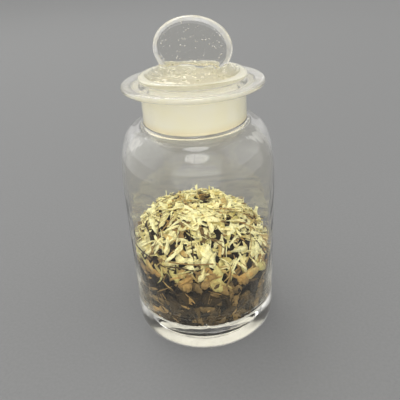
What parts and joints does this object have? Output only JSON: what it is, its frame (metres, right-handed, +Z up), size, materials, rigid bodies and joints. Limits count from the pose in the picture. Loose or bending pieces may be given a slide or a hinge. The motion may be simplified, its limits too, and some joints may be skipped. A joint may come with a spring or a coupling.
{
  "type": "apothecary bottle",
  "caption": "Small wide-mouth clear glass apothecary bottle with a ground-in glass stopper that lifts out, holding a heap of dried cut leaf.",
  "frame": {"origin": "on the bottle's axis, at the level of the flat ring that it stands on", "axes": "+Z up along the bottle's axis; X along the width of the stopper's flat grip, with the grip leaning slightly towards +X; Y through the grip's thickness"},
  "size_m": [0.055, 0.055, 0.1159],
  "materials": {
    "clear_glass": "gloss",
    "leaf_dark": "matte",
    "leaf_pale": "matte",
    "leaf_green": "matte",
    "leaf_straw": "matte",
    "leaf_brown": "matte"
  },
  "bodies": {
    "bottle": {"bottle": "clear_glass", "leaf_heap": "leaf_dark", "leaf_01": "leaf_pale", "leaf_02": "leaf_green", "leaf_03": "leaf_pale", "leaf_04": "leaf_straw", "leaf_05": "leaf_brown", "leaf_06": "leaf_pale", "leaf_07": "leaf_green", "leaf_08": "leaf_pale", "leaf_09": "leaf_straw", "leaf_10": "leaf_brown", "leaf_11": "leaf_pale", "leaf_12": "leaf_green", "leaf_13": "leaf_pale", "leaf_14": "leaf_straw", "leaf_15": "leaf_brown", "leaf_16": "leaf_pale", "leaf_17": "leaf_green", "leaf_18": "leaf_pale", "leaf_19": "leaf_straw", "leaf_20": "leaf_brown", "leaf_21": "leaf_pale", "leaf_22": "leaf_green", "leaf_23": "leaf_pale", "leaf_24": "leaf_straw", "leaf_25": "leaf_brown", "leaf_26": "leaf_pale", "leaf_27": "leaf_green", "leaf_28": "leaf_pale", "leaf_29": "leaf_straw", "leaf_30": "leaf_brown", "leaf_31": "leaf_pale", "leaf_32": "leaf_green", "leaf_33": "leaf_pale", "leaf_34": "leaf_straw", "leaf_35": "leaf_brown", "leaf_36": "leaf_pale", "leaf_37": "leaf_green", "leaf_38": "leaf_pale", "leaf_39": "leaf_straw", "leaf_40": "leaf_brown", "leaf_41": "leaf_pale", "leaf_42": "leaf_green"},
    "stopper": {"stopper": "clear_glass"}
  },
  "joints": [
    {"name": "stopper_lift", "type": "slide", "parent": "bottle", "child": "stopper", "axis": [0, 0, 1], "range_m": [0, 0.04]}
  ]
}
